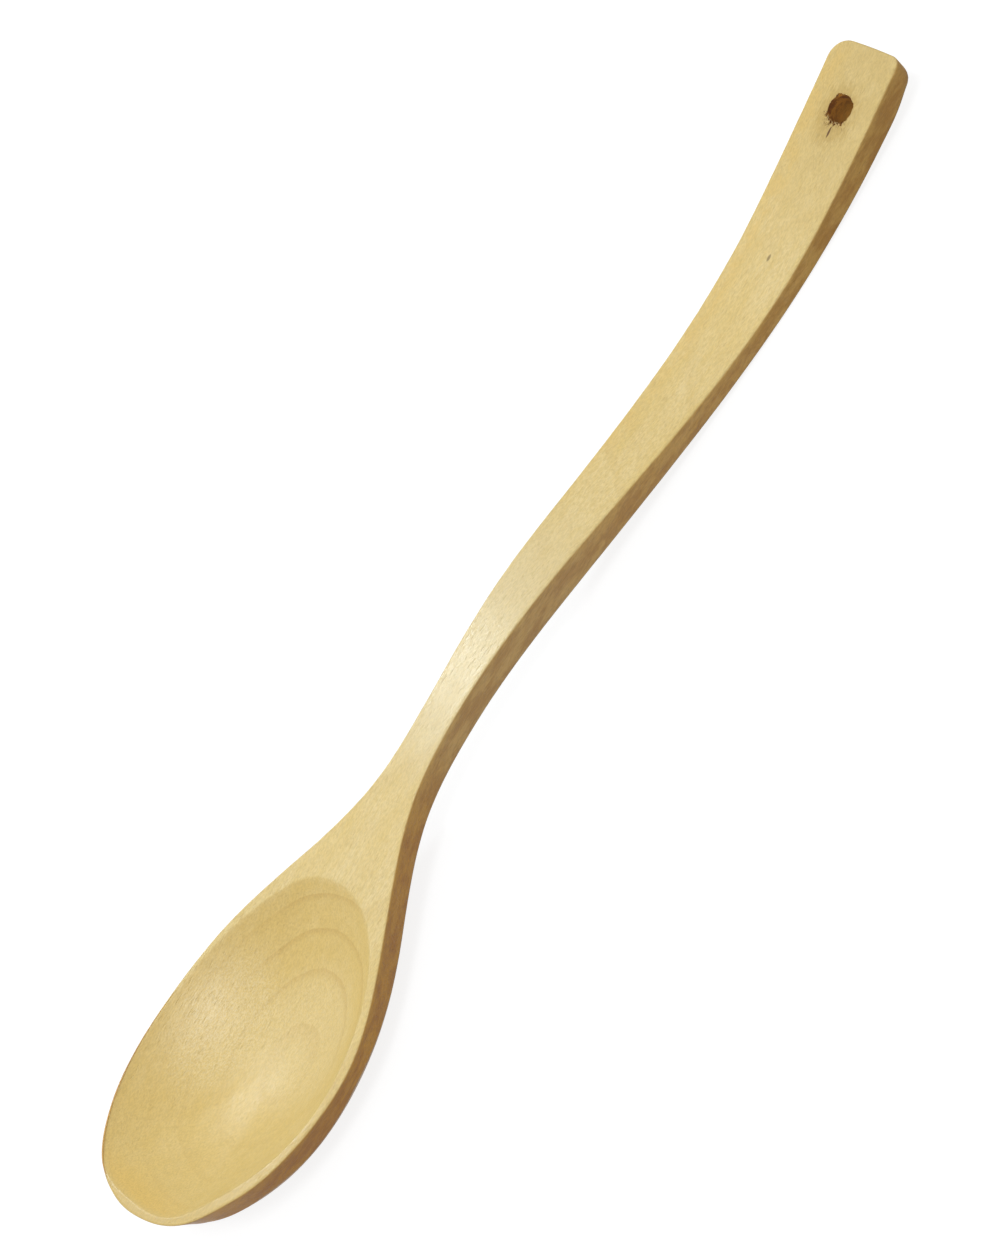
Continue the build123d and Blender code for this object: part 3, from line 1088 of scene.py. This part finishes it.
def carved_wood():
    """Pale oiled hardwood with growth rings, fibres and pores, painted shade as a darker tone on the walls,
    and painted highlights.
    """
    material, tree = new_material("carved_wood")
    coords = in_millimetres(tree)

    def times(*values):
        return product(tree, *values)

    def show(name, value=None):
        return shown(tree, name, noise_in(tree, coords, name) if value is None else value)

    def spot(name):
        return spot_share(tree, coords, name)

    places = put_node(tree, "ShaderNodeSeparateXYZ", {0: coords}).outputs
    along, sideways, up = places["X"], places["Y"], places["Z"]
    wall, edge, hole, hollow = (
        put_node(tree, "ShaderNodeAttribute", attribute_name=name).outputs["Fac"]
        for name in ("wall_share", "edge_share", "hole_share", "hollow_share")
    )
    fibre, speck, smudge, glint = (
        noise_in(tree, coords, name) for name in ("fibre", "speck", "smudge", "glint")
    )
    pores = show("pore")
    line, glow, fine_line = growth_rings(tree, coords)
    ring_strength = times(hollow, show("ring_depth", along), show("ring_side", sideways))
    ring_strength = maths(tree, "ADD", ring_strength, ring_everywhere)
    warm_side = show("warm_side", sideways)
    # The polished bend: its roughness is lowered, and a paler colour is painted on it as a highlight
    polish_and_painted_highlight = times(show("bend_start", along), show("bend_end", along))
    all_over = {
        "streak": show("streak"),
        "ring_glow": glow,
        "fine_line": fine_line,
        "ring": times(line, ring_strength),
        "fibre": show("fibre", fibre),
        "speck": show("speck", speck),
        "freckle": show("freckle"),
        "pore": pores,
        "handled_end": times(show("handled_end", along), show("handled_patch", smudge)),
        "warm_edge": times(warm_side, show("warm_start", along), show("warm_patch", smudge)),
        "fleck": spot("fleck"),
        "bend_painted_highlight": polish_and_painted_highlight,
        "stain": spot("stain"),
        "slit": spot("slit"),
        "sanded_rim": times(show("sanded_rim", along), maths(tree, "SUBTRACT", 1.0, hollow)),
    }
    colour = washed(tree, tint(tree, show("mottle"), pale, half_golden), all_over)

    # Painted shade: the walls are coloured darker and browner than the top face
    wall_shade_tone = tint(tree, show("wall_patch"), deep_wall_shade, pale_wall_shade)
    bowl_shade_tone = tint(tree, 1.0, wall_shade_tone, bowl_wall, "MULTIPLY")
    wall_shade_tone = tint(tree, show("bowl_wall", along), wall_shade_tone, bowl_shade_tone)
    colour = tint(tree, wall, colour, tint(tree, 1.0, colour, wall_shade_tone, "MULTIPLY"))

    # In the hollow: a golden tone painted for warm light bouncing inside it, broken into patches like the
    # wood's mottling
    in_hollow = {name: times(hollow, show(name)) for name in ("hollow_patch_and_painted_bounce", "cloud")}
    # Painted highlight: silvery glints in the hollow, where light from above is reflected
    for name in ("left_painted_glint", "right_painted_glint"):
        in_hollow[name] = times(spot(name), hollow, show(name, glint))
    in_hollow["tip_band"] = times(hollow, show("tip_band", along))
    in_hollow["hollow_ring"] = times(line, hollow, ring_strength)
    in_hollow["worn_edge"] = edge
    colour = washed(tree, colour, in_hollow)

    # Open grain, lighter and darker from fibre to fibre, and the bare wood of the hanging hole
    colour = vector_maths(tree, "SCALE", {0: colour, "Scale": show("open_grain")})
    bare = tint(tree, show("scorch"), scorched, bare_brown)
    # Painted light: the hole's wall turns lighter lower down, as if lit by light bouncing up from below
    bare = tint(tree, show("deep_hole", up), bare, painted_bounce_brown)
    colour = tint(tree, hole, colour, bare)

    rough = maths(tree, "ADD", show("fibre_rough", fibre), times(hole, bare_rough))
    rough = maths(tree, "ADD", rough, show("end_rough", along))
    rough = maths(tree, "SUBTRACT", rough, times(polish_and_painted_highlight, polish))
    relief = maths(tree, "ADD", times(fibre, fibre_relief), times(speck, speck_relief))
    relief = maths(tree, "SUBTRACT", relief, times(pores, pore_relief))
    finish_wood(tree, colour, rough, relief, strength=0.85, depth=0.00011, ior=1.50)
    return material


def torn_fibre_wood():
    """Bare fibres, from dark brown to pale straw."""
    material, tree = new_material("torn_fibre_wood")
    coords = in_millimetres(tree)
    patch, grain = (noise_in(tree, coords, name) for name in ("torn_patch", "torn_grain"))
    colour = tint(tree, shown(tree, "torn_patch", patch), dark_fibre, pale_fibre)
    finish_wood(tree, colour, shown(tree, "torn_rough", grain), grain, strength=0.4, depth=0.00004, ior=1.30)
    return material


# The splinters vary between two values, in metres, radians or times their width, each by its own draw
splinter_reach = (-0.00025, 0.00020, 2)
splinter_height = (-0.00030, 0.00002, 3)
splinter_lean = (1.38, 1.60, 4)
splinter_sway = (-0.5, 0.5, 5)
splinter_width = (0.6, 1.7, 6)
splinter_length = 0.001


def splinter_tree(material, sizes):
    """Node tree that lays tapered splinters round part of the hole's edge, and its inputs by their names."""
    tree = bpy.data.node_groups.new("torn_splinters", "GeometryNodeTree")
    sockets = {}
    for name, value in sizes.items():
        kind = "NodeSocketInt" if isinstance(value, int) else "NodeSocketFloat"
        sockets[name] = tree.interface.new_socket(name=name, in_out="INPUT", socket_type=kind)
    tree.interface.new_socket(name="Geometry", in_out="OUTPUT", socket_type="NodeSocketGeometry")
    given = tree.nodes.new("NodeGroupInput").outputs

    def random_value(low, high, draw):
        seed = maths(tree, "ADD", given["Seed"], draw)
        made = put_node(tree, "FunctionNodeRandomValue", {2: low, 3: high, "Seed": seed}, data_type="FLOAT")
        return made.outputs[1]

    turn = random_value(given["First Turn"], given["Last Turn"], 1)
    reach = maths(tree, "ADD", given["Hole Radius"], random_value(*splinter_reach))
    spot = put_node(
        tree,
        "ShaderNodeCombineXYZ",
        {
            "X": product(tree, maths(tree, "COSINE", turn), reach),
            "Y": product(tree, maths(tree, "SINE", turn), reach),
            "Z": random_value(*splinter_height),
        },
    )
    points = put_node(tree, "GeometryNodePoints", {"Count": given["Splinters"], "Position": spot.outputs[0]})
    cone = {"Vertices": 5, "Side Segments": 2, "Radius Top": 0.00001, "Radius Bottom": 0.00005}
    splinter = put_node(tree, "GeometryNodeMeshCone", {**cone, "Depth": splinter_length})
    turned = maths(tree, "ADD", turn, random_value(*splinter_sway))
    lean = put_node(tree, "ShaderNodeCombineXYZ", {"Y": random_value(*splinter_lean), "Z": turned})
    width = random_value(*splinter_width)
    length = maths(tree, "DIVIDE", random_value(given["Shortest"], given["Longest"], 7), splinter_length)
    scale = put_node(tree, "ShaderNodeCombineXYZ", {"X": width, "Y": width, "Z": length})
    placing = {"Points": points.outputs[0], "Instance": splinter.outputs["Mesh"]}
    shaping = {"Rotation": lean.outputs[0], "Scale": scale.outputs[0]}
    laid = put_node(tree, "GeometryNodeInstanceOnPoints", {**placing, **shaping})
    whole = put_node(tree, "GeometryNodeRealizeInstances", {0: laid.outputs[0]})
    finished = put_node(tree, "GeometryNodeSetMaterial", {"Geometry": whole.outputs[0], "Material": material})
    put_node(tree, "NodeGroupOutput", {0: finished.outputs[0]})
    return tree, sockets


def torn_splinters(name, material, count, turns, lengths, seed):
    """Splinters round part of the hanging hole's edge, between two turns in degrees from the handle's end."""
    sizes = {
        "Splinters": count,
        "Hole Radius": hole_radius * MM,
        "First Turn": math.radians(turns[0]),
        "Last Turn": math.radians(turns[1]),
        "Shortest": lengths[0] * MM,
        "Longest": lengths[1] * MM,
        "Seed": seed,
    }
    tree, sockets = splinter_tree(material, sizes)
    shell = new_object(name, bpy.data.meshes.new(name))
    nodes = shell.modifiers.new("splinters", "NODES")
    nodes.node_group = tree
    for label, value in sizes.items():
        nodes[sockets[label].identifier] = value
    depsgraph = bpy.context.evaluated_depsgraph_get()
    mesh = bpy.data.meshes.new_from_object(shell.evaluated_get(depsgraph))
    shell.modifiers.remove(nodes)
    shell.data = mesh
    middle, along, across, up = hole_frame()
    place = Matrix((along, across, up)).transposed().to_4x4()
    place.translation = middle * MM
    mesh.transform(place)
    close_and_turn_out(mesh, gap=0.0005 * MM)
    return shell


# The floor curves up far behind the spoon: distance from it and height, in metres
floor_profile = (
    (0.5, 0.0),
    (2.6, 0.0),
    (2.9, 0.05),
    (3.15, 0.17),
    (3.33, 0.38),
    (3.45, 0.7),
    (3.5, 3.5),
)
floor_turns = 72


def studio_floor():
    """A pale floor that curves up on every side and glows a little, so shadows stay faint."""
    points = [(0.0, 0.0, 0.0)]
    for radius, height in floor_profile:
        for i in range(floor_turns):
            turn = 2 * math.pi * i / floor_turns
            points.append((radius * math.cos(turn), radius * math.sin(turn), height))
    faces = [(0, 1 + i, 1 + (i + 1) % floor_turns) for i in range(floor_turns)]
    for ring in range(len(floor_profile) - 1):
        first = 1 + ring * floor_turns
        outer = first + floor_turns
        for i in range(floor_turns):
            j = (i + 1) % floor_turns
            faces.append((first + i, outer + i, outer + j, first + j))
    mesh = bpy.data.meshes.new("floor")
    mesh.from_pydata(points, [], faces)
    mesh.polygons.foreach_set("use_smooth", np.ones(len(faces), dtype=bool))
    floor = new_object("floor", mesh)
    material, tree = new_material("pale_floor")
    surface = {
        "Base Color": (0.24, 0.24, 0.24, 1.0),
        "Roughness": 0.9,
        "Specular IOR Level": 0.1,
        "Emission Color": (1.0, 1.0, 1.0, 1.0),
        "Emission Strength": 0.84,
    }
    finish_material(tree, surface)
    mesh.materials.append(material)
    # The spoon takes its light from above, and none from the floor
    floor.visible_diffuse = False


# Soft lights: direction from the spoon, distance, width and height in metres, power in watts, colour
studio_lights = {
    "light_above": ((-0.14, -0.33, 0.93), 1.4, (0.34, 0.34), 6.3, (0.93, 0.97, 1.0)),
    "light_behind": ((0.0, 0.64, 0.765), 0.75, (0.11, 0.15), 1.65, (0.84, 0.95, 1.0)),
    "light_low": ((-0.17, 0.97, 0.13), 1.5, (0.90, 0.30), 1.9, (0.82, 0.94, 1.0)),
    "light_end": ((0.90, 0.25, 0.42), 1.6, (0.8, 0.6), 1.0, (1.0, 1.0, 1.0)),
}
# The even pale room around them: its colour, and its strength below and above the level of the table
room_colour = (1.0, 0.985, 0.985, 1.0)
room_fade = (-0.15, 0.15, 0.12, 0.60)


def soft_box(name, towards, distance, size, power, colour):
    """A large soft light, seen from the spoon in the direction given."""
    light = bpy.data.lights.new(name, "AREA")
    light.shape = "RECTANGLE"
    light.size, light.size_y = size
    light.energy = power
    light.color = colour
    obj = new_object(name, light)
    direction = Vector(towards).normalized()
    obj.location = direction * distance
    obj.rotation_euler = direction.to_track_quat("Z", "Y").to_euler()
    obj.visible_camera = False


def studio_light():
    """Soft lights over the spoon, behind it and at the handle's end, in the room."""
    for name, values in studio_lights.items():
        soft_box(name, *values)
    world = bpy.data.worlds.new("room")
    world.use_nodes = True
    tree = world.node_tree
    tree.nodes.clear()
    source = put_node(tree, "ShaderNodeTexCoord")
    height = put_node(tree, "ShaderNodeSeparateXYZ", {0: source.outputs["Generated"]}).outputs["Z"]
    strength = fade(tree, height, *room_fade)
    glow = put_node(tree, "ShaderNodeBackground", {"Color": room_colour, "Strength": strength})
    put_node(tree, "ShaderNodeOutputWorld", {"Surface": glow.outputs[0]})
    bpy.context.scene.world = world


# The photograph's camera: place in metres, turns in degrees, lens and sensor in millimetres
camera_spot = (-0.02434, -0.44933, 0.55439)
camera_turns = (25.159, 32.140, -51.582)
camera_lens = 116.11
sensor_width = 36.0


def photo_camera():
    camera = bpy.data.cameras.new("camera")
    camera.sensor_fit = "HORIZONTAL"
    camera.sensor_width = sensor_width
    camera.lens = camera_lens
    camera.clip_start = 0.01
    camera.clip_end = 20.0
    obj = new_object("camera", camera)
    obj.location = camera_spot
    obj.rotation_euler = Euler([math.radians(turn) for turn in camera_turns], "XYZ")
    bpy.context.scene.camera = obj


photo_camera()
studio_floor()
studio_light()
scene = bpy.context.scene
scene.view_settings.view_transform = "Standard"
scene.view_settings.look = "None"

spoon = carve_body()
drill_hole(spoon)
mark_wood(spoon.data)
spoon.data.materials.clear()
spoon.data.materials.append(carved_wood())
face_count = len(spoon.data.polygons)
spoon.data.polygons.foreach_set("material_index", np.zeros(face_count, dtype=np.int32))
spoon.data.polygons.foreach_set("use_smooth", np.ones(face_count, dtype=bool))
sharpest_smooth_turn = math.radians(38)
spoon.data.set_sharp_from_angle(angle=sharpest_smooth_turn)
spoon.data.update()
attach(spoon, "root")
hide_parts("spoon")

# Torn fibres round the hole: how many, between which turns in degrees, of which lengths, seed
fibre_wood = torn_fibre_wood()
for name, count, turns, lengths, seed in (
    ("torn_fibres", 64, (112.0, 222.0), (0.5, 2.2), 5),
    ("small_burrs", 22, (-70.0, 100.0), (0.25, 0.8), 9),
):
    frayed = torn_splinters(name, fibre_wood, count, turns, lengths, seed)
    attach(frayed, "root")
